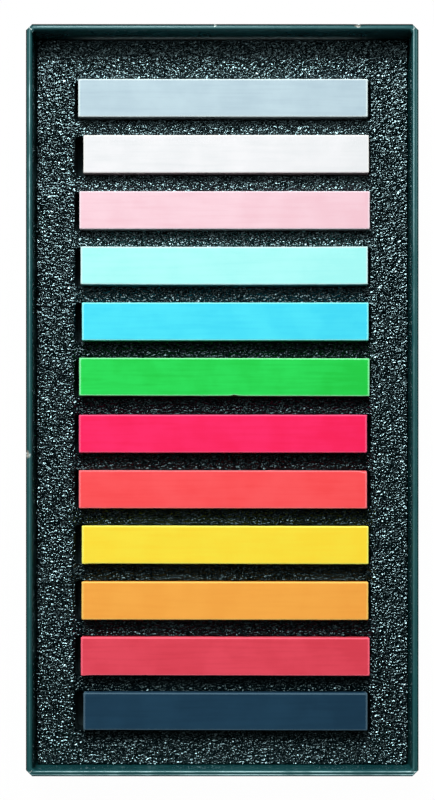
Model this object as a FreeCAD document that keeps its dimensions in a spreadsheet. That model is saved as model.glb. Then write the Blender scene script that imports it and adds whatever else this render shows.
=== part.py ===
import FreeCAD, Part
import os

import Sketcher

# Box tray for square pastel sticks: a folded board tray wrapped in paper, a two-layer foam insert
# that lies loose in it, and the sticks standing in the slots of the upper layer.
# Millimetres. The origin is at the middle of the underside, +Z points up and the sticks lie along X.
# The side at +Y is called far, the one at -Y near, the one at -X left and the one at +X right.

doc = FreeCAD.newDocument("pastel_tray")

# The sticks from far to near. A stick's length is a share of the named stick length, and the space
# at its right end is a share of all the play that a slot leaves at a stick's ends.
stick_shares = [
    ("pastel_grey", 1.000, 0.45),
    ("pastel_white", 0.986, 0.29),
    ("pastel_pink", 1.003, 0.16),
    ("pastel_cyan", 0.992, 0.44),
    ("pastel_blue", 0.990, 0.33),
    ("pastel_green", 1.003, 0.20),
    ("pastel_rose", 0.995, 0.56),
    ("pastel_orange_red", 0.995, 0.56),
    ("pastel_yellow", 0.990, 0.35),
    ("pastel_orange", 0.990, 0.38),
    ("pastel_coral", 0.997, 0.19),
    ("pastel_navy", 0.984, 0.43),
]

# The driving dimensions. The box is made round its contents: sticks, then slots, foam and tray.
driving_dimensions = [
    ("stick_side", 8.6),
    ("stick_length", 65.4),
    ("stick_edge_radius", 0.3),
    ("slot_count", len(stick_shares)),
    ("slot_side_gap", 0.15),
    ("slot_end_play", 1.6),
    ("slot_corner_radius", 0.8),
    ("rib_width", 3.69),
    ("left_rail_width", 8.65),
    ("right_rail_width", 8.45),
    ("far_rail_width", 9.25),
    ("near_rail_width", 7.56),
    ("foam_base_thickness", 2.0),
    ("slotted_layer_thickness", 7.0),
    ("foam_corner_radius", 1.0),
    ("foam_gap", 0.3),
    ("rim_above_foam", 5.42),
    ("board_thickness", 1.0),
    ("paper_thickness", 0.18),
    ("turn_in_depth", 12.0),
    ("corner_chamfer", 1.25),
    ("inner_corner_radius", 0.3),
    ("fold_radius", 0.5),
    ("rim_edge_share", 1.6),
    ("crease_width", 0.6),
    ("crease_depth", 0.25),
    ("wall_joint_gap", 0.12),
    ("stay_thickness", 0.12),
    ("stay_leg", 9.0),
    ("stay_rim_margin", 0.8),
    ("overrun", 2.0),
]
sheet = doc.addObject("Spreadsheet::Sheet", "size")
for row, (alias, value) in enumerate(driving_dimensions, start=1):
    sheet.set(f"A{row}", alias)
    sheet.set(f"B{row}", str(value))
    sheet.setAlias(f"B{row}", alias)
doc.recompute()

# What follows from the driving dimensions.
slot_width = "(size.stick_side + 2 * size.slot_side_gap)"
slot_length = "(size.stick_length + size.slot_end_play)"
slot_pitch = f"({slot_width} + size.rib_width)"
slot_row_length = f"((size.slot_count - 1) * {slot_pitch})"
foam_width = f"({slot_length} + size.left_rail_width + size.right_rail_width)"
foam_length = f"({slot_row_length} + {slot_width} + size.far_rail_width + size.near_rail_width)"
inner_width = f"({foam_width} + 2 * size.foam_gap)"
inner_length = f"({foam_length} + 2 * size.foam_gap)"
board_inner_width = f"({inner_width} + 2 * size.paper_thickness)"
board_inner_length = f"({inner_length} + 2 * size.paper_thickness)"
board_width = f"({board_inner_width} + 2 * size.board_thickness)"
board_length = f"({board_inner_length} + 2 * size.board_thickness)"
tray_width = f"({board_width} + 2 * size.paper_thickness)"
tray_length = f"({board_length} + 2 * size.paper_thickness)"
floor_level = "(size.paper_thickness + size.board_thickness)"
stick_level = f"({floor_level} + size.foam_base_thickness)"
foam_top_level = f"({stick_level} + size.slotted_layer_thickness)"
tray_height = f"({foam_top_level} + size.rim_above_foam)"
board_height = f"({tray_height} - 2 * size.paper_thickness)"
turn_in_level = f"({tray_height} - size.turn_in_depth)"
slot_row_x = "((size.left_rail_width - size.right_rail_width) / 2)"
slot_right_end_x = f"({slot_row_x} + {slot_length} / 2)"
far_slot_y = f"({foam_length} / 2 - size.far_rail_width - {slot_width} / 2)"


def amount(expression):
    """The number that an expression comes to."""
    found = sheet.evalExpression(expression)
    return float(getattr(found, "Value", found))


def place(thing, x, y, z):
    for axis, expression in (("x", x), ("y", y), ("z", z)):
        thing.setExpression(f"Placement.Base.{axis}", expression)


def new_body(name, z, x="0", y="0"):
    body = doc.addObject("PartDesign::Body", name)
    body.Label = name
    place(body, x, y, z)
    return body


def flat_sketch(body, name, level, x="0", y="0"):
    """An empty sketch parallel to the body's XY plane, with its origin at x, y and level."""
    sketch = body.newObject("Sketcher::SketchObject", name)
    plane = next(item for item in body.Origin.OriginFeatures if item.Role == "XY_Plane")
    sketch.AttachmentSupport = (plane, [""])
    sketch.MapMode = "FlatFace"
    for axis, expression in (("x", x), ("y", y), ("z", level)):
        sketch.setExpression(f"AttachmentOffset.Base.{axis}", expression)
    return sketch


def add_rectangle(sketch, name, width, length):
    """Draws a rectangle round the sketch's origin and ties its two sizes to expressions."""
    half_x = amount(width) / 2
    half_y = amount(length) / 2
    corners = [
        FreeCAD.Vector(-half_x, -half_y, 0),
        FreeCAD.Vector(half_x, -half_y, 0),
        FreeCAD.Vector(half_x, half_y, 0),
        FreeCAD.Vector(-half_x, half_y, 0),
    ]
    near, right, far, left = [
        sketch.addGeometry(Part.LineSegment(start, end), False)
        for start, end in zip(corners, corners[1:] + corners[:1])
    ]
    for line, following in ((near, right), (right, far), (far, left), (left, near)):
        sketch.addConstraint(Sketcher.Constraint("Coincident", line, 2, following, 1))
    for kind, line in (("Horizontal", near), ("Horizontal", far), ("Vertical", left), ("Vertical", right)):
        sketch.addConstraint(Sketcher.Constraint(kind, line))
    sketch.addConstraint(Sketcher.Constraint("Symmetric", near, 1, far, 1, -1, 1))
    for kind, line, size in (("DistanceX", near, width), ("DistanceY", right, length)):
        constraint = sketch.addConstraint(Sketcher.Constraint(kind, line, 1, line, 2, amount(size)))
        sketch.renameConstraint(constraint, f"{name}_{kind}")
        sketch.setExpression(f"Constraints.{name}_{kind}", size)


def rectangle(body, name, width, length, level="0", x="0", y="0"):
    sketch = flat_sketch(body, name, level, x, y)
    add_rectangle(sketch, name, width, length)
    return sketch


def pad(body, name, sketch, height):
    feature = body.newObject("PartDesign::Pad", name)
    feature.Profile = sketch
    feature.setExpression("Length", height)
    doc.recompute()
    return feature


def pocket(body, name, sketch, depth):
    """Cuts down from the sketch, and makes sure that something is cut away."""
    volume_before = body.Shape.Volume
    feature = body.newObject("PartDesign::Pocket", name)
    feature.Profile = sketch
    feature.setExpression("Length", depth)
    doc.recompute()
    if body.Shape.Volume >= volume_before:
        raise RuntimeError(f"{name} cuts nothing")
    return feature


def round_edges(body, name, base, radius, wanted):
    """Rounds those edges of the feature base for which wanted(edge) is true."""
    chosen = [f"Edge{number}" for number, edge in enumerate(base.Shape.Edges, start=1) if wanted(edge)]
    feature = body.newObject("PartDesign::Fillet", name)
    feature.Base = (base, chosen)
    feature.setExpression("Radius", radius)
    doc.recompute()
    return feature


def chamfer_edges(body, name, base, size, wanted):
    """Cuts off those edges of the feature base for which wanted(edge) is true."""
    chosen = [f"Edge{number}" for number, edge in enumerate(base.Shape.Edges, start=1) if wanted(edge)]
    feature = body.newObject("PartDesign::Chamfer", name)
    feature.Base = (base, chosen)
    feature.setExpression("Size", size)
    doc.recompute()
    return feature


def is_vertical(edge):
    box = edge.BoundBox
    return box.ZLength > box.XLength + box.YLength


def lies_level(edge, level):
    box = edge.BoundBox
    near_enough = amount("size.paper_thickness") / 10
    return abs(box.ZMin - amount(level)) < near_enough and abs(box.ZMax - amount(level)) < near_enough


def block(name, width, length, height, x, y, z):
    """A plain block with its lowest corner at x, y, z."""
    box = doc.addObject("Part::Box", name)
    for side, size in (("Length", width), ("Width", length), ("Height", height)):
        box.setExpression(side, size)
    place(box, x, y, z)
    return box


def joined(name, pieces):
    feature = doc.addObject("Part::MultiFuse", name)
    feature.Shapes = pieces
    return feature


def boolean(kind, name, base, tool):
    feature = doc.addObject(kind, name)
    feature.Base = base
    feature.Tool = tool
    feature.Label = name
    return feature


# Where tape and paper cross a corner at a slant, a layer on the outside has a wider slant than the
# layer that it lies on: wider by its thickness times this factor.
slant_growth = "(2 - sqrt(2))"

# The form of the folded greyboard, before its corners are cut out and taped.
blank = new_body("board_blank", "size.paper_thickness")
blank_outline = rectangle(blank, "blank_outline", board_width, board_length)
blank_block = pad(blank, "blank_block", blank_outline, board_height)
blank_corners = chamfer_edges(blank, "blank_corners", blank_block, "size.corner_chamfer", is_vertical)
blank_folds = round_edges(
    blank, "blank_folds", blank_corners, "size.fold_radius", lambda edge: lies_level(edge, "0")
)
blank_hollow_outline = rectangle(
    blank, "blank_hollow_outline", board_inner_width, board_inner_length, board_height
)
pocket(blank, "blank_hollow", blank_hollow_outline, f"{board_height} - size.board_thickness")

# The crease along the foot of each wall, where the board was bent.
crease = new_body("crease_groove", f"{floor_level} - size.crease_depth")
crease_outline = rectangle(crease, "crease_outline", board_inner_width, board_inner_length)
add_rectangle(
    crease_outline,
    "crease_inside",
    f"{board_inner_width} - 2 * size.crease_width",
    f"{board_inner_length} - 2 * size.crease_width",
)
pad(crease, "crease_pad", crease_outline, "size.crease_depth + size.overrun")

# Paper tape pressed into the outside of the board at each corner, from above the fold at the bottom
# to a little under the rim. The four tapes are cut from one band round the whole tray.
stay_band = new_body("stay_band", "size.paper_thickness + size.fold_radius")
band_outline = rectangle(stay_band, "band_outline", board_width, board_length)
add_rectangle(
    band_outline,
    "band_inside",
    f"{board_width} - 2 * size.stay_thickness",
    f"{board_length} - 2 * size.stay_thickness",
)
band_height = f"{board_height} - size.fold_radius - size.stay_rim_margin"
band_ring = pad(stay_band, "band_ring", band_outline, band_height)
band_middle_x = f"({board_width} / 2 - size.stay_thickness / 2)"


def is_outside_corner(edge):
    return is_vertical(edge) and abs(edge.BoundBox.XMin) > amount(band_middle_x)


band_outer_corners = chamfer_edges(
    stay_band, "band_outer_corners", band_ring, "size.corner_chamfer", is_outside_corner
)


def is_inside_corner(edge):
    """The band's inner corner edges, which lie on both of its inner faces."""
    box = edge.BoundBox
    inner_x = amount(f"{board_width} / 2 - size.stay_thickness")
    inner_y = amount(f"{board_length} / 2 - size.stay_thickness")
    near_enough = amount("size.stay_thickness") / 10
    on_both = abs(abs(box.XMin) - inner_x) < near_enough and abs(abs(box.YMin) - inner_y) < near_enough
    return is_vertical(edge) and on_both


chamfer_edges(
    stay_band,
    "band_inner_corners",
    band_outer_corners,
    f"size.corner_chamfer - {slant_growth} * size.stay_thickness",
    is_inside_corner,
)


def corner_block(name, side_x, side_y, reach):
    """A block over one corner of the board, reaching in from both outer faces and well beyond them."""
    side = f"({reach} + size.overrun)"
    x = f"{side_x} * ({board_width} / 2 - {reach} + {side} / 2) - {side} / 2"
    y = f"{side_y} * ({board_length} / 2 - {reach} + {side} / 2) - {side} / 2"
    return block(name, side, side, tray_height, x, y, "0")


# Each wall ends at the inner face of the next one, which leaves a square notch up the corner.
corners = [
    # name, side along X, side along Y
    ("far_left", -1, 1),
    ("far_right", 1, 1),
    ("near_left", -1, -1),
    ("near_right", 1, -1),
]
stays = []
notches = []
for corner, side_x, side_y in corners:
    stay_reach = corner_block(f"stay_reach_{corner}", side_x, side_y, "size.stay_leg")
    stays.append(boolean("Part::Common", f"corner_stay_{corner}", stay_band, stay_reach))
    notch_side = "(size.board_thickness + size.wall_joint_gap)"
    notches.append(corner_block(f"notch_{corner}", side_x, side_y, notch_side))

# The finished board: creased, notched at its corners, and pressed in on the outside under the tapes.
board_cuts = joined("board_cuts", [crease] + stays + notches)
tray_board = boolean("Part::Cut", "tray_board", blank, board_cuts)

# The wrap, first as a block with the tray's outer form and its hollow, then with the board taken out.
# It covers the bottom and the outer walls, goes over the rim and is turned in down the inner walls.
wrap = new_body("wrap_form", "0")
wrap_outline = rectangle(wrap, "wrap_outline", tray_width, tray_length)
wrap_block = pad(wrap, "wrap_block", wrap_outline, tray_height)
wrap_corners = chamfer_edges(
    wrap,
    "wrap_corners",
    wrap_block,
    f"size.corner_chamfer + {slant_growth} * size.paper_thickness",
    is_vertical,
)
wrap_folds = round_edges(
    wrap,
    "wrap_folds",
    wrap_corners,
    "size.fold_radius + size.paper_thickness",
    lambda edge: lies_level(edge, "0"),
)
wrap_hollow_outline = rectangle(wrap, "wrap_hollow_outline", inner_width, inner_length, tray_height)
wrap_hollow = pocket(wrap, "wrap_hollow", wrap_hollow_outline, f"{tray_height} - {floor_level}")


def is_hollow_corner(edge):
    box = edge.BoundBox
    inside = abs(box.XMin) < amount(board_inner_width) / 2 and abs(box.YMin) < amount(board_inner_length) / 2
    return is_vertical(edge) and inside


wrap_inner_corners = round_edges(
    wrap, "wrap_inner_corners", wrap_hollow, "size.inner_corner_radius", is_hollow_corner
)
round_edges(
    wrap,
    "wrap_rim_edges",
    wrap_inner_corners,
    "size.paper_thickness * size.rim_edge_share",
    lambda edge: lies_level(edge, tray_height),
)
below_turn_in = block(
    "below_turn_in",
    board_inner_width,
    board_inner_length,
    f"{turn_in_level} - {floor_level} + size.crease_depth",
    f"-{board_inner_width} / 2",
    f"-{board_inner_length} / 2",
    f"{floor_level} - size.crease_depth",
)
paper_cuts = joined("paper_cuts", [blank, below_turn_in])
cover_paper = boolean("Part::Cut", "cover_paper", wrap, paper_cuts)


# The two foam layers. The upper one has a slot through it for each stick.
def foam_sheet(name, level, thickness):
    layer = new_body(name, level)
    outline = rectangle(layer, f"{name}_outline", foam_width, foam_length)
    sheet_pad = pad(layer, f"{name}_sheet", outline, thickness)
    round_edges(layer, f"{name}_corners", sheet_pad, "size.foam_corner_radius", is_vertical)
    return layer


foam_base = foam_sheet("foam_base_layer", floor_level, "size.foam_base_thickness")
slotted_layer = foam_sheet("foam_slotted_layer", stick_level, "size.slotted_layer_thickness")
slot_outline = rectangle(
    slotted_layer,
    "slot_outline",
    slot_length,
    slot_width,
    "size.slotted_layer_thickness",
    slot_row_x,
    far_slot_y,
)
first_slot = pocket(slotted_layer, "first_slot", slot_outline, "size.slotted_layer_thickness")
slot_row = slotted_layer.newObject("PartDesign::LinearPattern", "slot_row")
slot_row.Originals = [first_slot]
slot_row.Direction = (slot_outline, ["V_Axis"])
slot_row.Reversed = True
slot_row.setExpression("Length", slot_row_length)
slot_row.setExpression("Occurrences", "size.slot_count")
slotted_layer.Tip = slot_row
doc.recompute()


def is_slot_corner(edge):
    box = edge.BoundBox
    within_rails = abs(box.XMin) < amount(slot_length) / 2 + amount("size.left_rail_width") / 2
    return is_vertical(edge) and within_rails


round_edges(slotted_layer, "slot_corners", slot_row, "size.slot_corner_radius", is_slot_corner)


# One pressed square stick, standing on the base layer in its slot.
def pastel_stick(name, place_in_row, length_share, right_gap_share):
    length = f"(size.stick_length * {length_share})"
    x = f"{slot_right_end_x} - size.slot_end_play * {right_gap_share} - {length} / 2"
    y = f"{far_slot_y} - {place_in_row} * {slot_pitch}"
    stick = new_body(name, stick_level, x, y)
    outline = rectangle(stick, f"{name}_outline", length, "size.stick_side")
    bar = pad(stick, f"{name}_bar", outline, "size.stick_side")
    round_edges(stick, f"{name}_edges", bar, "size.stick_edge_radius", lambda edge: True)
    return stick


pastel_sticks = [
    pastel_stick(name, place_in_row, length_share, right_gap_share)
    for place_in_row, (name, length_share, right_gap_share) in enumerate(stick_shares)
]

doc.recompute()
for thing in doc.Objects:
    if "Invalid" in thing.State or "Error" in thing.State:
        raise RuntimeError(f"{thing.Name} failed: {thing.State}")
pieces = [tray_board] + stays + [cover_paper, foam_base, slotted_layer] + pastel_sticks
for piece in pieces:
    if piece.Shape.isNull() or not piece.Shape.isValid() or len(piece.Shape.Solids) != 1:
        raise RuntimeError(f"{piece.Label} has no single sound solid")

os.makedirs("parts", exist_ok=True)
for piece in pieces:
    piece.Shape.exportStep(f"parts/{piece.Label}.step")
    box = piece.Shape.BoundBox
    print(
        f"{piece.Label}: {piece.Shape.Volume:.2f} mm3, X {box.XMin:.2f} to {box.XMax:.2f},"
        f" Y {box.YMin:.2f} to {box.YMax:.2f}, Z {box.ZMin:.2f} to {box.ZMax:.2f}"
    )
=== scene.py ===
import math

import bmesh
import bpy
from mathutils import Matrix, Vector, noise


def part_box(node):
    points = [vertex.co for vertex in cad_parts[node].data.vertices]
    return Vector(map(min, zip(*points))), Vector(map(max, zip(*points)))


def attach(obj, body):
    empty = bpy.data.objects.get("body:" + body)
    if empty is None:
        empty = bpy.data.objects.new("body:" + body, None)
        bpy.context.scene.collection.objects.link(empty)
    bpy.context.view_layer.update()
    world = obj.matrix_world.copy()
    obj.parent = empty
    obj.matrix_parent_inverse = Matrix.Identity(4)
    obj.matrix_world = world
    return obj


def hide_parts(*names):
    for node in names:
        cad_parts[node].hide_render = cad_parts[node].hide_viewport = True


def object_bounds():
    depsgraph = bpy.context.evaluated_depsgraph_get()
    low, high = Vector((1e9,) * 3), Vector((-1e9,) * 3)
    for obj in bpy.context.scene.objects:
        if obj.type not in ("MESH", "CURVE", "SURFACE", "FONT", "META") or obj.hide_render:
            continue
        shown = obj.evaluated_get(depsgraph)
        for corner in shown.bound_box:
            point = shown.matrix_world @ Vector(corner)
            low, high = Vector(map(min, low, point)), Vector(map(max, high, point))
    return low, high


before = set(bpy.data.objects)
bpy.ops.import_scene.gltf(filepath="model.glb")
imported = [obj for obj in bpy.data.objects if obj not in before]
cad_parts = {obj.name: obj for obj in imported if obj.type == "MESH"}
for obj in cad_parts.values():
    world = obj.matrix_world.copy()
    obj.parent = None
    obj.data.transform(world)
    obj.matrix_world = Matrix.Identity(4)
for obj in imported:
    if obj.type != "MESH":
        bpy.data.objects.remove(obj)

cad_low, cad_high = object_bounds()
mm = 0.001


# The viewpoint. The tray is seen straight down from 290 mm above its rim, over a point
# nearer to its lower end, so the far wall and the near sides of the far sticks show.
picture_height = 800
pixel_at_rim = 0.22265 * mm
eye_above_rim = 290 * mm
eye_over = Vector((-1.06 * mm, -22.23 * mm, 0))
pixels_below_middle = 100
film_height = 36

eye = eye_over + Vector((0, 0, cad_high.z + eye_above_rim))
bpy.ops.object.camera_add(location=eye, rotation=(0, 0, 0))
camera = bpy.context.object
camera.name = "camera"
camera.data.sensor_width = film_height
camera.data.lens = film_height * eye_above_rim / (picture_height * pixel_at_rim)
camera.data.shift_y = pixels_below_middle / picture_height
camera.data.clip_start = 10 * mm
bpy.context.scene.camera = camera
bpy.context.scene.view_settings.view_transform = "Standard"


# The table. A plain white sheet that turns up into a low round wall far from the tray.
# What looks at it sees white with a faint shadow, and what it lights gets plain white paper.
def paint(red, green, blue):
    """A colour given in screen values from 0 to 255, as the light values that shaders take."""
    shares = [value / 255 for value in (red, green, blue)]
    return tuple(s / 12.92 if s <= 0.04045 else ((s + 0.055) / 1.055) ** 2.4 for s in shares) + (1.0,)


def new_material(name):
    """An empty material, its nodes, its links and its output node."""
    material = bpy.data.materials.new(name)
    material.use_nodes = True
    nodes = material.node_tree.nodes
    nodes.clear()
    return material, nodes, material.node_tree.links, nodes.new("ShaderNodeOutputMaterial")


def white_table():
    """Plain white paper to the light, and nearly pure white to the camera."""
    material, nodes, links, output = new_material("white_table")
    paper = nodes.new("ShaderNodeBsdfDiffuse")
    paper.inputs["Color"].default_value = paint(232, 232, 232)
    glow = nodes.new("ShaderNodeEmission")
    glow.inputs["Color"].default_value = (1, 1, 1, 1)
    glow.inputs["Strength"].default_value = 1
    path = nodes.new("ShaderNodeLightPath")
    white_share = nodes.new("ShaderNodeMath")
    white_share.operation = "MULTIPLY"
    white_share.inputs[1].default_value = table_whiteness
    links.new(path.outputs["Is Camera Ray"], white_share.inputs[0])
    mixed = nodes.new("ShaderNodeMixShader")
    links.new(white_share.outputs[0], mixed.inputs["Fac"])
    links.new(paper.outputs[0], mixed.inputs[1])
    links.new(glow.outputs[0], mixed.inputs[2])
    links.new(mixed.outputs[0], output.inputs["Surface"])
    return material


table_radius = 2.5
table_wall = 1.4
table_level = -0.05 * mm
table_whiteness = 0.985
bpy.ops.object.select_all(action="DESELECT")
bpy.ops.mesh.primitive_circle_add(
    vertices=96, radius=table_radius, fill_type="NGON", location=(0, 0, table_level)
)
table = bpy.context.object
table.name = "table"
bpy.ops.object.mode_set(mode="EDIT")
bpy.ops.mesh.select_mode(type="EDGE")
bpy.ops.mesh.select_all(action="SELECT")
bpy.ops.mesh.region_to_loop()
bpy.ops.mesh.extrude_region_move(TRANSFORM_OT_translate={"value": (0, 0, table_wall)})
bpy.ops.object.mode_set(mode="OBJECT")
table.data.materials.append(white_table())


# The light. A small bright lamp stands beyond the far end of the tray, a little to the left,
# with a large soft one above and behind it. A dim even sky fills the shadows.
def add_lamp(name, place, side, power):
    """A square lamp that looks at the middle of the tray."""
    bpy.ops.object.light_add(type="AREA", location=place)
    lamp = bpy.context.object
    lamp.name = name
    lamp.data.shape = "SQUARE"
    lamp.data.size = side
    lamp.data.energy = power
    lamp.rotation_euler = place.to_track_quat("Z", "Y").to_euler()


sky_level = 0.02
add_lamp("bright_lamp", Vector((-100 * mm, 650 * mm, 605 * mm)), side=240 * mm, power=9.95)
add_lamp("soft_lamp", Vector((-60 * mm, 300 * mm, 900 * mm)), side=620 * mm, power=1.62)

sky = bpy.data.worlds.new("soft_sky")
sky.use_nodes = True
sky.node_tree.nodes["Background"].inputs["Color"].default_value = (1, 1, 1, 1)
sky.node_tree.nodes["Background"].inputs["Strength"].default_value = sky_level
bpy.context.scene.world = sky


# The cover paper: one sheet of dark teal coated paper, glued under the tray and up its walls,
# folded over the rim and turned in down the inside. It rises a little over both edges of
# the board, is cut and folded to a slant at each corner, and its white core shows there.
def start_box(name, low, high):
    """Adds a box between two corners as the start of a piece, and opens it for shaping."""
    bpy.ops.object.select_all(action="DESELECT")
    bpy.ops.mesh.primitive_cube_add(size=1, location=(low + high) / 2)
    piece = bpy.context.object
    piece.name = name
    piece.data.name = name
    piece.scale = high - low
    bpy.ops.object.transform_apply(location=True, rotation=True, scale=True)
    bpy.ops.object.mode_set(mode="EDIT")
    return piece


def choose(kind, test):
    """Selects only the points, edges or faces of the open piece that pass a test."""
    bpy.ops.mesh.select_mode(type=kind)
    bpy.ops.mesh.select_all(action="DESELECT")
    mesh = bpy.context.edit_object.data
    shape = bmesh.from_edit_mesh(mesh)
    for part in {"VERT": shape.verts, "EDGE": shape.edges, "FACE": shape.faces}[kind]:
        if test(part):
            part.select_set(True)
    bmesh.update_edit_mesh(mesh)


def middle(part):
    """The middle of an edge or a face."""
    return sum((point.co for point in part.verts), Vector()) / len(part.verts)


def runs_upright(edge):
    """True for an edge that stands upright."""
    run = edge.verts[0].co - edge.verts[1].co
    return abs(run.z) > 0.9 * run.length


def cut_across(axis, places):
    """Cuts the open piece all round at some places along an axis."""
    for place in places:
        bpy.ops.mesh.select_all(action="SELECT")
        bpy.ops.mesh.bisect(plane_co=axis * place, plane_no=axis)


def even_places(first, last, step):
    """Places from first to last, both left out, about a step apart."""
    count = max(2, round((last - first) / step))
    return [first + (last - first) * turn / count for turn in range(1, count)]


def add_modifier(piece, kind, **settings):
    """Adds a modifier with these settings and applies it."""
    bpy.ops.object.select_all(action="DESELECT")
    piece.select_set(True)
    bpy.context.view_layer.objects.active = piece
    modifier = piece.modifiers.new(kind.lower(), kind)
    for name, value in settings.items():
        setattr(modifier, name, value)
    bpy.ops.object.modifier_apply(modifier=modifier.name)


def smooth(piece, degrees):
    """Shades the piece smooth, apart from edges that turn by more than this angle."""
    bpy.ops.object.select_all(action="DESELECT")
    piece.select_set(True)
    bpy.context.view_layer.objects.active = piece
    bpy.ops.object.shade_smooth_by_angle(angle=math.radians(degrees))


def new_group(name, takes, gives):
    """An empty shader node group with these inputs, given as name to kind, and outputs."""
    group = bpy.data.node_groups.new(name, "ShaderNodeTree")
    for socket, kind in takes.items():
        group.interface.new_socket(name=socket, in_out="INPUT", socket_type=kind)
    for socket, kind in gives.items():
        group.interface.new_socket(name=socket, in_out="OUTPUT", socket_type=kind)
    return group, group.nodes.new("NodeGroupInput"), group.nodes.new("NodeGroupOutput")


def fine_grain():
    """The node group of a fine tooth and a cloudy mottling: paper, board, tape, foam and chalk."""
    number = "NodeSocketFloat"
    group, takes, gives = new_group(
        "fine_grain",
        {"Place": "NodeSocketVector", "Grain Size": number, "Cloud Size": number},
        {"Grain": number, "Cloud": number},
    )
    for size, result, detail in (("Grain Size", "Grain", 3), ("Cloud Size", "Cloud", 4)):
        turns = group.nodes.new("ShaderNodeMath")
        turns.operation = "DIVIDE"
        turns.inputs[0].default_value = 1
        group.links.new(takes.outputs[size], turns.inputs[1])
        pattern = group.nodes.new("ShaderNodeTexNoise")
        pattern.inputs["Detail"].default_value = detail
        group.links.new(takes.outputs["Place"], pattern.inputs["Vector"])
        group.links.new(turns.outputs[0], pattern.inputs["Scale"])
        group.links.new(pattern.outputs["Fac"], gives.inputs[result])
    return group


grain_group = fine_grain()


def place_grain(nodes, links, place, grain_size, cloud_size):
    """Puts the grain group in a material, with its own sizes, and returns its node."""
    grain = nodes.new("ShaderNodeGroup")
    grain.node_tree = grain_group
    grain.inputs["Grain Size"].default_value = grain_size
    grain.inputs["Cloud Size"].default_value = cloud_size
    links.new(place, grain.inputs["Place"])
    return grain


def ramp(nodes, links, value, stops):
    """A colour ramp over a value, with stops given as place and colour."""
    node = nodes.new("ShaderNodeValToRGB")
    marks = node.color_ramp.elements
    while len(marks) < len(stops):
        marks.new(0.5)
    for mark, (position, colour) in zip(marks, stops):
        mark.position = position
        mark.color = colour
    links.new(value, node.inputs["Fac"])
    return node.outputs["Color"]


def measure(nodes, links, value, low, high, low_result=0.0, high_result=1.0):
    """A value mapped smoothly from one range to another."""
    node = nodes.new("ShaderNodeMapRange")
    node.interpolation_type = "SMOOTHSTEP"
    node.inputs["From Min"].default_value = low
    node.inputs["From Max"].default_value = high
    node.inputs["To Min"].default_value = low_result
    node.inputs["To Max"].default_value = high_result
    links.new(value, node.inputs["Value"])
    return node.outputs["Result"]


def combine(nodes, links, operation, first, second=0):
    """A Math node of two values, each a socket or a number."""
    node = nodes.new("ShaderNodeMath")
    node.operation = operation
    for value, socket in ((first, node.inputs[0]), (second, node.inputs[1])):
        if isinstance(value, (int, float)):
            socket.default_value = value
        else:
            links.new(value, socket)
    return node.outputs[0]


def product(nodes, links, first, *others):
    """Several values multiplied together, each a socket or a number."""
    for other in others:
        first = combine(nodes, links, "MULTIPLY", first, other)
    return first


def blend_colours(nodes, links, mask, first, second):
    """One colour laid over another by a mask. Each is a socket or a colour."""
    node = nodes.new("ShaderNodeMix")
    node.data_type = "RGBA"
    links.new(mask, node.inputs["Factor"])
    for value, socket in ((first, node.inputs[6]), (second, node.inputs[7])):
        if isinstance(value, tuple):
            socket.default_value = value
        else:
            links.new(value, socket)
    return node.outputs[2]


def start_surface(name):
    """A new material with one shader, and the place on the piece for its patterns."""
    material, nodes, links, output = new_material(name)
    shader = nodes.new("ShaderNodeBsdfPrincipled")
    links.new(shader.outputs[0], output.inputs["Surface"])
    return material, nodes, links, shader, nodes.new("ShaderNodeTexCoord").outputs["Object"]


def add_relief(nodes, links, shader, height, strength, distance):
    """Fine relief on a surface, from a pattern's height."""
    bump = nodes.new("ShaderNodeBump")
    bump.inputs["Strength"].default_value = strength
    bump.inputs["Distance"].default_value = distance
    links.new(height, bump.inputs["Height"])
    links.new(bump.outputs["Normal"], shader.inputs["Normal"])


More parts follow.
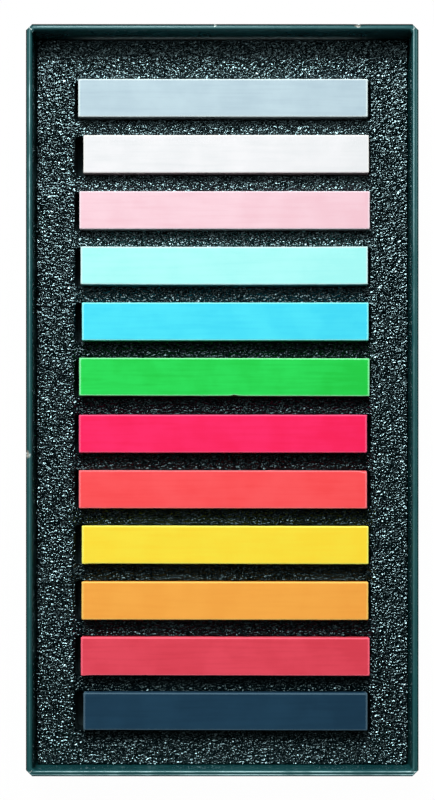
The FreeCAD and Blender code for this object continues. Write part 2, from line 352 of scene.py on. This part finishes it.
def teal_paper():
    """Dark teal coated paper, with its wear, white core and nicks, a pale band inside the far wall, and
    painted sheen, highlight lines and shade along the rim.
    """
    material, nodes, links, shader, place = start_surface("teal_paper")
    shader.inputs["Specular Tint"].default_value = (0.72, 0.97, 1.0, 1.0)
    grain = place_grain(nodes, links, place, 0.22 * mm, 9 * mm)
    mottling = grain.outputs["Cloud"]
    teal = ramp(nodes, links, mottling, [(0.3, paint(16, 62, 66)), (0.7, paint(26, 76, 78))])
    # The white core, where the slanted corner folds part along the mitre.
    spread = nodes.new("ShaderNodeSeparateXYZ")
    links.new(place, spread.inputs[0])
    x, y, z = spread.outputs
    across = combine(nodes, links, "ABSOLUTE", x)
    along = combine(nodes, links, "ABSOLUTE", y)
    past_x = combine(nodes, links, "SUBTRACT", across, paper_inner.x)
    past_y = combine(nodes, links, "SUBTRACT", along, paper_inner.y)
    off_mitre = combine(nodes, links, "ABSOLUTE", combine(nodes, links, "SUBTRACT", past_x, past_y))
    at_mitre = measure(nodes, links, off_mitre, 0.16 * mm, 0.05 * mm)
    outside = combine(nodes, links, "MINIMUM", past_x, past_y)
    on_rim = measure(nodes, links, outside, 0.02 * mm, 0.12 * mm)
    broken = measure(nodes, links, grain.outputs["Grain"], 0.42, 0.55)
    core = product(nodes, links, at_mitre, on_rim, broken)
    # The fold over the rim is paler: a little rubbed, and partly a painted sheen on its top.
    top = paper_high.z
    on_fold = measure(nodes, links, z, top - 0.35 * mm, top - 0.15 * mm)
    wear_and_painted_light = blend_colours(nodes, links, on_fold, teal, paint(36, 84, 86))
    # The outer fold near the top is painted darker as shade, and made duller.
    past = combine(nodes, links, "MAXIMUM", past_x, past_y)
    near_top = measure(nodes, links, z, top - 1.6 * mm, top - 0.8 * mm)
    edge_shade = measure(nodes, links, past, rim_width - 0.28 * mm, rim_width - 0.2 * mm)
    edge_shade = product(nodes, links, edge_shade, near_top)
    wear_and_painted_light = blend_colours(nodes, links, edge_shade, wear_and_painted_light, paint(3, 14, 16))
    links.new(measure(nodes, links, edge_shade, 0, 1, 0.35, 0.05), shader.inputs["Specular IOR Level"])
    # Painted highlight lines run along the rim, pale where the lamp's reflection lies, broken up by the
    # mottling.
    highlight_breakup = measure(nodes, links, mottling, 0.38, 0.6, 0.2, 1)
    for axis, line_at, far_share, near_share in highlight_lines:
        off_line = combine(nodes, links, "SUBTRACT", spread.outputs[axis], line_at)
        off_line = combine(nodes, links, "ABSOLUTE", off_line)
        line = measure(nodes, links, off_line, 0.12 * mm, 0.04 * mm)
        share = measure(nodes, links, y, -10 * mm, 60 * mm, near_share, far_share)
        strength = product(nodes, links, line, highlight_breakup, share, on_fold)
        wear_and_painted_light = blend_colours(nodes, links, strength, wear_and_painted_light, paint(190, 232, 236))
    # A pale band lies along the foam, low on the inside of the far wall and away from its ends.
    above_foam = measure(nodes, links, z, 9.1 * mm, 9.4 * mm)
    under_mark = measure(nodes, links, z, 11.8 * mm, 9.8 * mm)
    at_far_wall = measure(nodes, links, y, paper_inner.y - 0.5 * mm, paper_inner.y - 0.1 * mm)
    inside_wall = measure(nodes, links, past_y, 0.6 * mm, 0.3 * mm)
    off_ends = measure(nodes, links, across, 37 * mm, 26 * mm)
    wall_band_and_side_shade = product(nodes, links, above_foam, under_mark, inside_wall, at_far_wall, off_ends)
    banded = blend_colours(nodes, links, wall_band_and_side_shade, wear_and_painted_light, paint(210, 224, 222))
    # Small nicks in the outer fold show the core too.
    for nick_place, nick_reach, _ in rim_nicks:
        span = nodes.new("ShaderNodeVectorMath")
        span.operation = "DISTANCE"
        span.inputs[1].default_value = nick_place
        links.new(place, span.inputs[0])
        chipped = measure(nodes, links, span.outputs["Value"], 0.8 * nick_reach, 0.4 * nick_reach)
        core = combine(nodes, links, "MAXIMUM", core, product(nodes, links, chipped, broken))
    colour = blend_colours(nodes, links, core, banded, paint(222, 236, 232))
    links.new(colour, shader.inputs["Base Color"])
    links.new(measure(nodes, links, mottling, 0.3, 0.7, 0.22, 0.32), shader.inputs["Roughness"])
    add_relief(nodes, links, shader, grain.outputs["Grain"], strength=0.35, distance=0.02 * mm)
    return material


paper_low, paper_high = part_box("cover_paper")
paper_thickness = 0.18 * mm
turned_in_to = 3.6 * mm
corner_slant = 1.355 * mm
bottom_fold = 0.68 * mm
sharp_edge = 0.05 * mm
same_place = 0.01 * mm
# The nicks in the rim: the middle of each, its reach and how deep it is.
rim_nicks = [
    (Vector((-43.3 * mm, -12.2 * mm, 15.5 * mm)), 1.0 * mm, 0.15 * mm),
    (Vector((30.3 * mm, 83.4 * mm, 15.5 * mm)), 0.7 * mm, 0.12 * mm),
    (Vector((-1.6 * mm, 83.4 * mm, 15.5 * mm)), 0.5 * mm, 0.08 * mm),
]
# Across the rim, from the outer edge to the inner one: how far in, and how far under the top.
rim_path = [
    (0.00 * mm, 0.07 * mm),
    (0.02 * mm, 0.02 * mm),
    (0.07 * mm, 0.00 * mm),
    (0.18 * mm, 0.00 * mm),
    (0.26 * mm, 0.05 * mm),
    (0.34 * mm, 0.09 * mm),
    (0.42 * mm, 0.10 * mm),
    (0.50 * mm, 0.07 * mm),
    (0.58 * mm, 0.02 * mm),
    (0.68 * mm, 0.00 * mm),
    (0.92 * mm, 0.00 * mm),
    (1.00 * mm, 0.01 * mm),
    (1.08 * mm, 0.06 * mm),
    (1.16 * mm, 0.14 * mm),
    (1.24 * mm, 0.23 * mm),
    (1.32 * mm, 0.34 * mm),
    (1.36 * mm, 0.42 * mm),
]
rim_width = rim_path[-1][0]
# Painted highlight lines along the rim, pale where the lamp's reflection lies: the axis that they lie
# across, the place on it, and how clear they are at the far end and at the near end.
highlight_lines = [
    ("X", 0.78 * mm - paper_high.x, 1.0, 0.1),
    ("X", paper_high.x - 1.05 * mm, 0.6, 0.1),
    ("X", paper_high.x - 0.40 * mm, 0.1, 0.0),
    ("Y", 1.00 * mm - paper_high.y, 0.9, 0.9),
    ("Y", 0.35 * mm - paper_high.y, 0.8, 0.8),
]
paper_inner = Vector((paper_high.x - rim_width, paper_high.y - rim_width, 0))
X = Vector((1, 0, 0))
Y = Vector((0, 1, 0))
Z = Vector((0, 0, 1))

start_height = paper_high.z - rim_path[0][1]
cover = start_box("cover_paper_wrap", paper_low, Vector((paper_high.x, paper_high.y, start_height)))
choose("EDGE", runs_upright)
bpy.ops.mesh.bevel(offset=corner_slant, offset_type="OFFSET", segments=1, affect="EDGES")
choose("EDGE", lambda edge: middle(edge).z < paper_low.z + same_place)
bpy.ops.mesh.bevel(offset=bottom_fold, offset_type="OFFSET", segments=4, affect="EDGES")
choose("FACE", lambda face: face.normal.z > 0.9)
for (last_in, last_under), (far_in, far_under) in zip(rim_path, rim_path[1:]):
    bpy.ops.mesh.inset(thickness=far_in - last_in, depth=last_under - far_under)
inner_level = paper_high.z - rim_path[-1][1]
bpy.ops.mesh.extrude_region_move(TRANSFORM_OT_translate={"value": (0, 0, turned_in_to - inner_level)})
bpy.ops.mesh.delete(type="FACE")
# The inner corners are square: each short slanted edge that the insets leave is drawn together.
inner_slant = corner_slant - rim_width * (2 - math.sqrt(2))
for side_x in (-1, 1):
    for side_y in (-1, 1):
        corner = Vector((side_x * paper_inner.x, side_y * paper_inner.y))
        for level in (inner_level, turned_in_to):
            choose("VERT", lambda point: (
                abs(point.co.z - level) < same_place
                and (point.co.xy - corner).length < inner_slant * 1.1
            ))
            bpy.ops.mesh.merge(type="CENTER")
            bpy.ops.transform.translate(value=(side_x * inner_slant / 2, side_y * inner_slant / 2, 0))
# Cuts all round, so that the paper has points for its waves and its shading.
wave_step = 2.0 * mm
wall_levels = [0.9 * mm, 5.2 * mm, 8.0 * mm, 10.8 * mm, 13.0 * mm, 15.1 * mm]
cut_across(X, even_places(paper_low.x + corner_slant, paper_high.x - corner_slant, wave_step))
cut_across(Y, even_places(paper_low.y + corner_slant, paper_high.y - corner_slant, wave_step))
cut_across(Z, wall_levels)
bpy.ops.object.mode_set(mode="OBJECT")
add_modifier(
    cover, "BEVEL", width=sharp_edge, segments=2, limit_method="ANGLE", angle_limit=math.radians(42)
)


def press(point, middle_place, reach, depth):
    """How far a soft dent or swelling of this depth moves a point, by its distance from a middle."""
    share = max(0.0, 1 - (point - middle_place).length / reach)
    return depth * share * share * (3 - 2 * share)


# The glued paper lies in low waves along the rim, long ones with shorter ones on them.
wave_depth = 0.045 * mm
wave_reach = 0.35 * mm
long_wave = 7 * mm
short_wave = 2.6 * mm
for vertex in cover.data.vertices:
    place = vertex.co
    on_rim = max(0.0, 1 - (paper_high.z - place.z) / wave_reach)
    wave = noise.noise(place / long_wave) + 0.6 * noise.noise(place / short_wave)
    place.z -= on_rim * wave_depth * (0.5 + 0.5 * wave)
    for nick_place, nick_reach, nick_depth in rim_nicks:
        place.z -= press(place, nick_place, nick_reach, nick_depth)
add_modifier(cover, "SOLIDIFY", thickness=paper_thickness, offset=-1, use_even_offset=True)
smooth(cover, degrees=50)
cover.data.materials.append(teal_paper())
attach(cover, "tray")
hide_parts("cover_paper")


# The tray board: one blank of grey pulp board, creased and folded up. It shows only on the
# floor and low on the walls when the foam is lifted out.
def grey_board():
    """Grey pulp board with dark flecks."""
    material, nodes, links, shader, place = start_surface("grey_board")
    shader.inputs["Roughness"].default_value = 0.9
    grain = place_grain(nodes, links, place, 0.35 * mm, 5 * mm)
    greys = [(0.3, paint(136, 132, 122)), (0.7, paint(162, 157, 146))]
    pulp = ramp(nodes, links, grain.outputs["Cloud"], greys)
    fleck = measure(nodes, links, grain.outputs["Grain"], 0.66, 0.74, 0, 0.6)
    colour = blend_colours(nodes, links, fleck, pulp, paint(84, 80, 76))
    links.new(colour, shader.inputs["Base Color"])
    add_relief(nodes, links, shader, grain.outputs["Grain"], strength=0.5, distance=0.03 * mm)
    return material


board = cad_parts["tray_board"]
board.data.materials.clear()
board.data.materials.append(grey_board())


# The corner stays: strips of brown gummed paper tape that tie the wall ends of the board
# together at each corner, under the cover paper.
def brown_tape():
    """Brown paper tape, with its fibres drawn out upwards."""
    material, nodes, links, shader, place = start_surface("brown_tape")
    shader.inputs["Roughness"].default_value = 0.7
    drawn_out = nodes.new("ShaderNodeMapping")
    drawn_out.inputs["Scale"].default_value = (1, 1, 0.2)
    links.new(place, drawn_out.inputs["Vector"])
    grain = place_grain(nodes, links, drawn_out.outputs[0], 0.3 * mm, 4 * mm)
    browns = [(0.3, paint(150, 116, 78)), (0.7, paint(186, 152, 108))]
    colour = ramp(nodes, links, grain.outputs["Grain"], browns)
    links.new(colour, shader.inputs["Base Color"])
    add_relief(nodes, links, shader, grain.outputs["Grain"], strength=0.4, distance=0.01 * mm)
    return material


tape = brown_tape()
for corner_name in ("far_left", "far_right", "near_left", "near_right"):
    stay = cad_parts["corner_stay_" + corner_name]
    stay.data.materials.clear()
    stay.data.materials.append(tape)


# The foam base: a sheet of black foam, cut to the tray, that the sticks stand on. Its top
# keeps the smooth skin of the sheet and its edges show the cut cells.
def point_mark(nodes, name):
    """The value from 0 to 1 that the points of a mesh carry under this name."""
    mark = nodes.new("ShaderNodeAttribute")
    mark.attribute_name = name
    return mark.outputs["Fac"]


def black_foam(name, roughest, pit_depth):
    """Black foam with a slight blue-green cast, paler on its pebbles' crests with painted shade in the
    furrows, and duller where its "dull" mark says so, which paints shade on the ribs.
    """
    material, nodes, links, shader, place = start_surface(name)
    shader.inputs["IOR"].default_value = 1.53
    shader.inputs["Specular Tint"].default_value = (0.6, 0.94, 1.0, 1.0)
    grain = place_grain(nodes, links, place, 0.24 * mm, 14 * mm)
    # The pebbles' crests are a little paler and their furrows darker: worn crests, and painted shade in
    # the furrows.
    wear_and_painted_light = measure(nodes, links, point_mark(nodes, "crest"), 0.3, 1.0)
    colour = blend_colours(nodes, links, wear_and_painted_light, paint(1, 6, 8), paint(2, 12, 15))
    links.new(colour, shader.inputs["Base Color"])
    shine = measure(nodes, links, point_mark(nodes, "dull"), 0, 1, 1.0, 0.3)
    links.new(shine, shader.inputs["Specular IOR Level"])
    roughness = measure(nodes, links, grain.outputs["Cloud"], 0.3, 0.7, roughest - 0.04, roughest)
    links.new(roughness, shader.inputs["Roughness"])
    add_relief(nodes, links, shader, grain.outputs["Grain"], strength=1, distance=pit_depth)
    return material


def roughen(piece, name, size, strength, mid_level):
    """Moves the points of a piece in and out by a soft cloudy pattern."""
    pattern = bpy.data.textures.new(name, "CLOUDS")
    pattern.noise_scale = size
    pattern.noise_depth = 2
    add_modifier(
        piece, "DISPLACE", texture=pattern, texture_coords="LOCAL", strength=strength, mid_level=mid_level
    )


base_low, base_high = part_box("foam_base_layer")
foam_corner = 1.0 * mm
base_cell = 2 * mm
base_cell_height = 1 * mm
base = start_box("foam_base", base_low, base_high)
choose("EDGE", runs_upright)
bpy.ops.mesh.bevel(offset=foam_corner, offset_type="OFFSET", segments=4, affect="EDGES")
cut_across(X, even_places(base_low.x + foam_corner, base_high.x - foam_corner, base_cell))
cut_across(Y, even_places(base_low.y + foam_corner, base_high.y - foam_corner, base_cell))
cut_across(Z, even_places(base_low.z, base_high.z, base_cell_height))
bpy.ops.object.mode_set(mode="OBJECT")
roughen(base, "cut_foam", size=1.4 * mm, strength=0.12 * mm, mid_level=1)
smooth(base, degrees=50)
base.data.materials.append(black_foam("black_foam_cut", roughest=0.85, pit_depth=0.1 * mm))
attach(base, "foam_insert")
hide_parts("foam_base_layer")


# The slotted foam: a second sheet glued on the base, with a wavy pebbled skin and one
# die-cut slot for each stick, a little longer than the stick so that a nail gets in.
foam_low, foam_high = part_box("foam_slotted_layer")
slot_length = 67.0 * mm
slot_width = 8.9 * mm
slot_middle = 0.1 * mm
slot_corner = 0.8 * mm
stick_names = [
    "grey", "white", "pink", "cyan", "blue", "green",
    "rose", "orange_red", "yellow", "orange", "coral", "navy",
]
stick_boxes = {name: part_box("pastel_" + name) for name in stick_names}
slot_rows = [(low.y + high.y) / 2 for low, high in stick_boxes.values()]
cell = Vector((0.215 * mm, 0.148 * mm))
# A hair over one cell, so that each cut edge always has a grid line within half of it.
drawn_share = 1.01


def drawn_to_edges(value, edges, step):
    """A grid line's place, moved onto a cut edge that lies within half a step of it."""
    near = [edge for edge in edges if abs(edge - value) <= step / 2]
    return near[0] if near else value


def round_slot_corner(place, corner_x, corner_y, side_x, side_y):
    """Draws the foam round a slot's corner onto an arc, and less so further out."""
    centre = Vector((corner_x - side_x * slot_corner, corner_y - side_y * slot_corner))
    out = Vector(((place.x - centre.x) * side_x, (place.y - centre.y) * side_y))
    reach = max(out.x, out.y)
    furthest = 3 * slot_corner
    if min(out.x, out.y) <= 0 or reach > furthest:
        return
    share = min(1.0, (furthest - reach) / (furthest - slot_corner))
    drawn = 1 + share * (reach / out.length - 1)
    place.x = centre.x + side_x * out.x * drawn
    place.y = centre.y + side_y * out.y * drawn


bpy.ops.object.select_all(action="DESELECT")
foam_size = foam_high - foam_low
columns = round(foam_size.x / cell.x)
rows = round(foam_size.y / cell.y)
bpy.ops.mesh.primitive_grid_add(x_subdivisions=columns, y_subdivisions=rows, size=1)
foam = bpy.context.object
foam.name = "foam_slotted"
foam.data.name = "foam_slotted"
foam.scale = (foam_size.x, foam_size.y, 1)
foam.location = Vector(((foam_low.x + foam_high.x) / 2, (foam_low.y + foam_high.y) / 2, foam_high.z))
bpy.ops.object.transform_apply(location=True, rotation=True, scale=True)
slot_ends = (slot_middle - slot_length / 2, slot_middle + slot_length / 2)
slot_sides = [row + side * slot_width / 2 for row in slot_rows for side in (-1, 1)]
for vertex in foam.data.vertices:
    vertex.co.x = drawn_to_edges(vertex.co.x, slot_ends, cell.x * drawn_share)
    vertex.co.y = drawn_to_edges(vertex.co.y, slot_sides, cell.y * drawn_share)
bpy.ops.object.mode_set(mode="EDIT")


def in_a_slot(face):
    """True for a face of the sheet that a slot takes away."""
    place = middle(face)
    row = min(slot_rows, key=lambda row: abs(row - place.y))
    return slot_ends[0] < place.x < slot_ends[1] and abs(place.y - row) < slot_width / 2


choose("FACE", in_a_slot)
bpy.ops.mesh.delete(type="FACE")
bpy.ops.object.mode_set(mode="OBJECT")
outer_corner = Vector((foam_high.x - foam_corner, foam_high.y - foam_corner))
for vertex in foam.data.vertices:
    place = vertex.co
    out = Vector((abs(place.x) - outer_corner.x, abs(place.y) - outer_corner.y))
    if min(out.x, out.y) > 0:
        drawn = max(out.x, out.y) / out.length
        place.x = math.copysign(outer_corner.x + out.x * drawn, place.x)
        place.y = math.copysign(outer_corner.y + out.y * drawn, place.y)
    row = min(slot_rows, key=lambda row: abs(row - place.y))
    side_x = 1 if place.x > slot_middle else -1
    side_y = 1 if place.y > row else -1
    round_slot_corner(place, slot_ends[side_x > 0], row + side_y * slot_width / 2, side_x, side_y)
bpy.ops.object.mode_set(mode="EDIT")
# A ring of points just under the skin keeps the pebbles' shading off the walls below it.
skin_drop = 0.8 * mm
choose("EDGE", lambda edge: edge.is_boundary)
for drop in (skin_drop, foam_size.z - skin_drop):
    bpy.ops.mesh.extrude_region_move(TRANSFORM_OT_translate={"value": (0, 0, -drop)})
bpy.ops.mesh.fill()
bpy.ops.mesh.select_all(action="SELECT")
bpy.ops.mesh.normals_make_consistent(inside=False)
bpy.ops.object.mode_set(mode="OBJECT")
# The ribs between the sticks are drawn down with them and made dull, which paints shade on them
# between the sticks. The share is 1 after most sticks, and less after the pale ones, whose sides
# light the ribs. It fades out past the slots' ends and below the last slot.
rib_shares = {"grey": 0, "white": 0, "pink": 0.2, "cyan": 0.6}
deepest_sag = 0.6 * mm
fade_at_ends = 3 * mm
fade_below_last = 10 * mm


def rib_share(place):
    """How far a place is inside a drawn-down rib: none in the open foam around the slots."""
    after = [name for name, row in zip(stick_names, slot_rows) if row > place.y]
    if not after:
        return 0
    below_last = (slot_rows[-1] - slot_width / 2 - place.y) / fade_below_last
    below_last = min(1.0, max(0.0, below_last))
    past_end = abs(place.x - slot_middle) - slot_length / 2
    within = min(1.0, max(0.0, 0.5 - past_end / fade_at_ends))
    return rib_shares.get(after[-1], 1) * within * within * (3 - 2 * within) * (1 - below_last)


# The pebbles of the skin: rounded cells, wider across the tray than along it, pulled out of
# line by a slow swirl. Each falls off to the furrow round it over this share of a cell. The
# swirl starts from a seed, so that every run gives the same pebbles.
pebble_size = Vector((0.555 * mm, 0.34 * mm))
pebble_depth = 0.51 * mm
pebble_furrow = 0.5
pebble_pull = 0.45 * mm
pebble_pull_size = 1.5 * mm
pebble_seed = 5
noise.seed_set(pebble_seed)
heights = foam.data.attributes.new("crest", "FLOAT", "POINT")
dulls = foam.data.attributes.new("dull", "FLOAT", "POINT")
for vertex, height, dull in zip(foam.data.vertices, heights.data, dulls.data):
    place = vertex.co
    if place.z > foam_high.z - same_place:
        pulled = place + pebble_pull * noise.noise_vector(place / pebble_pull_size)
        nearest = noise.voronoi(Vector((pulled.x / pebble_size.x, pulled.y / pebble_size.y, 0)))[0]
        off_furrow = min(1.0, (nearest[1] - nearest[0]) / pebble_furrow)
        height.value = off_furrow * (2 - off_furrow)
        dull.value = rib_share(place)
        place.z -= pebble_depth * (1 - height.value) + deepest_sag * dull.value
smooth(foam, degrees=88)
foam.data.materials.append(black_foam("black_foam_skin", roughest=0.15, pit_depth=0.002 * mm))
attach(foam, "foam_insert")
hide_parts("foam_slotted_layer")


# The pastel sticks: twelve square bars of pressed pigment and chalk, each loose in its slot.
# Their long edges are a little worn and paler, which also paints a highlight along them, faint lines
# run along them from the press, and painted shade darkens their sides and their right ends.
def pastel_finish():
    """The chalky look that the twelve sticks share: pale worn edges that also paint a highlight, press
    lines, smudges, and painted shade on the sides and towards the right end.
    """
    number = "NodeSocketFloat"
    colour = "NodeSocketColor"
    group, takes, gives = new_group(
        "pastel_finish",
        {
            "Place": "NodeSocketVector",
            "Edge": number,
            "Side": number,
            "Grain": number,
            "Cloud": number,
            "Body Colour": colour,
            "Edge Wear And Highlight Colour": colour,
            "Deep Colour": colour,
        },
        {"Colour": colour, "Height": number},
    )
    nodes = group.nodes
    links = group.links
    long_way = nodes.new("ShaderNodeMapping")
    long_way.inputs["Scale"].default_value = (0.06, 1, 1)
    links.new(takes.outputs["Place"], long_way.inputs["Vector"])
    lines = nodes.new("ShaderNodeTexNoise")
    lines.inputs["Scale"].default_value = 1 / press_line_size
    lines.inputs["Detail"].default_value = 3
    links.new(long_way.outputs[0], lines.inputs["Vector"])
    smudge = measure(nodes, links, takes.outputs["Cloud"], 0.35, 0.65, 0, 0.55)
    drawn = measure(nodes, links, lines.outputs["Fac"], 0.4, 0.7, 0, 0.4)
    spread = nodes.new("ShaderNodeSeparateXYZ")
    links.new(takes.outputs["Place"], spread.inputs[0])
    # Painted shade: each stick is drawn darker towards its right end, where less light falls.
    right_end_shade = measure(nodes, links, spread.outputs["X"], 10 * mm, 33 * mm, 0, 0.4)
    dark = combine(nodes, links, "ADD", combine(nodes, links, "ADD", smudge, drawn), right_end_shade)
    body = blend_colours(nodes, links, dark, takes.outputs["Body Colour"], takes.outputs["Deep Colour"])
    # The pale edges are real wear and also a painted highlight along every edge.
    uneven = product(nodes, links, takes.outputs["Grain"], 0.5)
    wear_and_painted_light = combine(nodes, links, "ADD", takes.outputs["Edge"], uneven)
    edge_wear_and_highlight = measure(nodes, links, wear_and_painted_light, 0.78, 1.0)
    edged = blend_colours(nodes, links, edge_wear_and_highlight, body, takes.outputs["Edge Wear And Highlight Colour"])
    # Painted shade: the sides are darkened towards a near-black grey, most on the near side, which faces
    # away from the lamps.
    wall_band_and_side_shade = measure(nodes, links, takes.outputs["Side"], 0, 1, 0, 0.86)
    links.new(blend_colours(nodes, links, wall_band_and_side_shade, edged, paint(20, 24, 26)), gives.inputs["Colour"])
    height = combine(nodes, links, "ADD", takes.outputs["Grain"], lines.outputs["Fac"])
    links.new(height, gives.inputs["Height"])
    return group


press_line_size = 0.9 * mm
finish_group = pastel_finish()


def pastel(name, body, edge_wear_and_highlight, deep):
    """One stick's material: its own colours on the shared chalky finish."""
    material, nodes, links, shader, place = start_surface("pastel_" + name)
    shader.inputs["Roughness"].default_value = 0.85
    shader.inputs["Specular IOR Level"].default_value = 0.15
    grain = place_grain(nodes, links, place, 0.25 * mm, 7 * mm)
    look = nodes.new("ShaderNodeGroup")
    look.node_tree = finish_group
    links.new(place, look.inputs["Place"])
    links.new(point_mark(nodes, "edge"), look.inputs["Edge"])
    # The side mark carries painted shade: it darkens the sides, most on the near side.
    links.new(point_mark(nodes, "side"), look.inputs["Side"])
    links.new(grain.outputs["Grain"], look.inputs["Grain"])
    links.new(grain.outputs["Cloud"], look.inputs["Cloud"])
    look.inputs["Body Colour"].default_value = paint(*body)
    look.inputs["Edge Wear And Highlight Colour"].default_value = paint(*edge_wear_and_highlight)
    look.inputs["Deep Colour"].default_value = paint(*deep)
    links.new(look.outputs["Colour"], shader.inputs["Base Color"])
    add_relief(nodes, links, shader, look.outputs["Height"], strength=0.3, distance=0.02 * mm)
    return material


stick_side = 8.6 * mm
stick_length = 65.4 * mm
worn_edge = 0.22 * mm
cuts_from_edge = (0.45 * mm, 0.8 * mm)
bar_cell = 0.9 * mm
half_bar = Vector((stick_length / 2, stick_side / 2, stick_side / 2))
bar = start_box("bar", -half_bar, half_bar)
bpy.ops.mesh.select_all(action="SELECT")
bpy.ops.mesh.bevel(offset=worn_edge, offset_type="OFFSET", segments=3, affect="EDGES")
for axis, half in ((X, half_bar.x), (Y, half_bar.y), (Z, half_bar.z)):
    near_edges = [half - cut for cut in cuts_from_edge]
    cut_across(axis, near_edges + [-place for place in near_edges] + even_places(-half, half, bar_cell))
bpy.ops.object.mode_set(mode="OBJECT")
# Two marks on each point: how near an edge it is, for pale edges that are worn and also a painted
# highlight, with the wear reaching further in at the ends, and how much painted shade darkens it, none on
# top and most on the near side.
edge_mark_reach = 0.8 * mm
end_mark_stretch = 0.7
clean_rim = 0.09 * mm
shade_fade = 0.3 * mm
far_shade = 0.15
near_shade = 1.0
edge_marks = bar.data.attributes.new("edge", "FLOAT", "POINT")
shade_marks = bar.data.attributes.new("side", "FLOAT", "POINT")
for vertex, edge_mark, shade_mark in zip(bar.data.vertices, edge_marks.data, shade_marks.data):
    to_faces = [half_bar[axis] - abs(vertex.co[axis]) for axis in range(3)]
    to_faces[0] *= end_mark_stretch
    edge_mark.value = max(0.0, 1 - sorted(to_faces)[1] / edge_mark_reach)
    below_top = min(1.0, max(0.0, (half_bar.z - vertex.co.z - clean_rim) / shade_fade))
    nearness = 0.5 - 0.5 * vertex.co.y / half_bar.y
    shade_mark.value = below_top * (far_shade + (near_shade - far_shade) * nearness)

# Each stick's colours: its body, its pale edges, worn and also a painted highlight, and its smudges,
# which also colour the painted shade at its right end. Then how far it bows towards the far side,
# drops from its left end to its right end, and lies to the near side.
stick_looks = {
    "grey": ((184, 207, 216), (215, 232, 233), (171, 194, 205), 0.00 * mm, 0.00 * mm, -0.09 * mm),
    "white": ((233, 234, 236), (234, 236, 234), (223, 226, 228), 0.00 * mm, -0.03 * mm, -0.04 * mm),
    "pink": ((241, 205, 215), (241, 219, 227), (235, 192, 203), 0.00 * mm, 0.00 * mm, 0.05 * mm),
    "cyan": ((172, 247, 243), (207, 247, 245), (160, 242, 238), -0.10 * mm, 0.00 * mm, -0.02 * mm),
    "blue": ((78, 226, 246), (142, 245, 248), (64, 214, 241), 0.00 * mm, 0.00 * mm, 0.00 * mm),
    "green": ((41, 218, 88), (134, 246, 166), (31, 200, 68), 0.00 * mm, 0.14 * mm, -0.06 * mm),
    "rose": ((254, 43, 104), (249, 92, 133), (249, 32, 88), 0.00 * mm, 0.00 * mm, 0.14 * mm),
    "orange_red": ((255, 89, 93), (255, 125, 131), (252, 77, 81), 0.00 * mm, 0.06 * mm, 0.12 * mm),
    "yellow": ((255, 230, 64), (255, 252, 111), (255, 222, 55), 0.00 * mm, 0.14 * mm, 0.06 * mm),
    "orange": ((253, 176, 74), (255, 207, 106), (248, 167, 67), 0.00 * mm, 0.06 * mm, 0.10 * mm),
    "coral": ((234, 75, 94), (255, 105, 126), (222, 64, 82), 0.00 * mm, 0.14 * mm, 0.08 * mm),
    "navy": ((28, 64, 87), (72, 100, 116), (21, 55, 77), 0.00 * mm, 0.14 * mm, -0.08 * mm),
}
# Small faults at the upper edges: how far along, on which side, how wide and how deep.
stick_faults = {
    "green": [(2.3 * mm, -1, 1.3 * mm, 0.25 * mm)],
    "orange_red": [(32.2 * mm, 1, 1.5 * mm, 0.35 * mm)],
    "yellow": [(-32.0 * mm, -1, 1.6 * mm, -0.12 * mm)],
    "coral": [(-32.0 * mm, -1, 1.6 * mm, -0.12 * mm)],
}
# How far each stick stays inside its solid. Navy is a little thinner and shorter than its own.
inside_solid = 0.01 * mm
inside_navy = 0.1 * mm
for name, (body, edge_wear_and_highlight, deep, bow, drop, near) in stick_looks.items():
    low, high = stick_boxes[name]
    stick = bar.copy()
    stick.data = bar.data.copy()
    stick.name = "pastel_" + name + "_stick"
    stick.data.name = stick.name
    bpy.context.collection.objects.link(stick)
    half_stick = (high - low) / 2
    room = inside_navy if name == "navy" else inside_solid
    for vertex in stick.data.vertices:
        share = vertex.co.x / half_bar.x
        aside = bow * (0.5 - share * share) - drop * share / 2 - near
        for along, side, reach, depth in stick_faults.get(name, []):
            fault_place = Vector((along, side * half_bar.y, half_bar.z))
            vertex.co.y -= side * press(vertex.co, fault_place, reach, depth)
        vertex.co.x *= (half_stick.x - room) / half_bar.x
        vertex.co.y *= (half_stick.y - room) / half_bar.y
        vertex.co.z *= (half_stick.z - inside_solid) / half_bar.z
        vertex.co += (low + high) / 2
        vertex.co.y += aside
    stick.data.materials.append(pastel(name, body, edge_wear_and_highlight, deep))
    roughen(stick, "press_waves", size=5 * mm, strength=0.06 * mm, mid_level=0.5)
    roughen(stick, "worn_edges", size=0.9 * mm, strength=0.04 * mm, mid_level=0.5)
    smooth(stick, degrees=50)
    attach(stick, "pastel_" + name)
    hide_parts("pastel_" + name)
bpy.data.objects.remove(bar)
